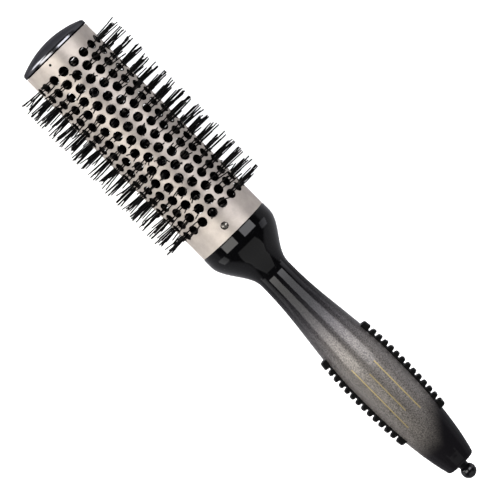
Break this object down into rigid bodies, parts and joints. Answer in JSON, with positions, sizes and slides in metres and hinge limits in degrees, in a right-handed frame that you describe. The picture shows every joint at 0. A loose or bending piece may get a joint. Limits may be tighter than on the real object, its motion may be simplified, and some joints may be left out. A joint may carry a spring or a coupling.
{
  "type": "round barrel brush",
  "caption": "Round styling brush with a perforated metal barrel, radial nylon tufts, a domed cap, a waisted handle with rubber ribs and a pull-out sectioning pick.",
  "frame": {"origin": "on the brush's axis at the middle of the grip, 86 mm from the seam between the barrel and the handle", "axes": "+X along the axis towards the handle's end, away from the cap; +Z out of the side with the barrel screw; the rib rows stand out along +Y and -Y"},
  "size_m": [0.2475, 0.0526, 0.0526],
  "materials": {
    "handle": "glossy black, fading to a fine metallic grey over the grip",
    "grip_rubber": "matt moulded",
    "pick": "glossy",
    "barrel": "satin ceramic coat, pale champagne",
    "screw": "bright",
    "cap": "metallised, polished, smoky silver",
    "pin": "matt",
    "wire": "drawn wire",
    "bristle": "nylon, slightly glossy"
  },
  "bodies": {
    "brush": {"handle_body": "handle", "grip_insert_left": "grip_rubber", "grip_insert_right": "grip_rubber", "barrel_tube": "barrel", "barrel_screw": "screw", "end_cap": "cap", "cap_pin": "pin", "core_wire_a": "wire", "core_wire_b": "wire", "bristle_ring_01": "bristle", "bristle_ring_02": "bristle", "bristle_ring_03": "bristle", "bristle_ring_04": "bristle", "bristle_ring_05": "bristle", "bristle_ring_06": "bristle", "bristle_ring_07": "bristle", "bristle_ring_08": "bristle", "bristle_ring_09": "bristle", "bristle_ring_10": "bristle", "bristle_ring_11": "bristle", "bristle_ring_12": "bristle", "bristle_ring_13": "bristle", "bristle_ring_14": "bristle", "bristle_ring_15": "bristle", "bristle_ring_16": "bristle", "bristle_ring_17": "bristle", "bristle_ring_18": "bristle"},
    "pick": {"sectioning_pick": "pick"}
  },
  "joints": [
    {"name": "pick_slide", "type": "slide", "parent": "brush", "child": "pick", "axis": [1, 0, 0], "range_m": [0, 0.07]}
  ]
}
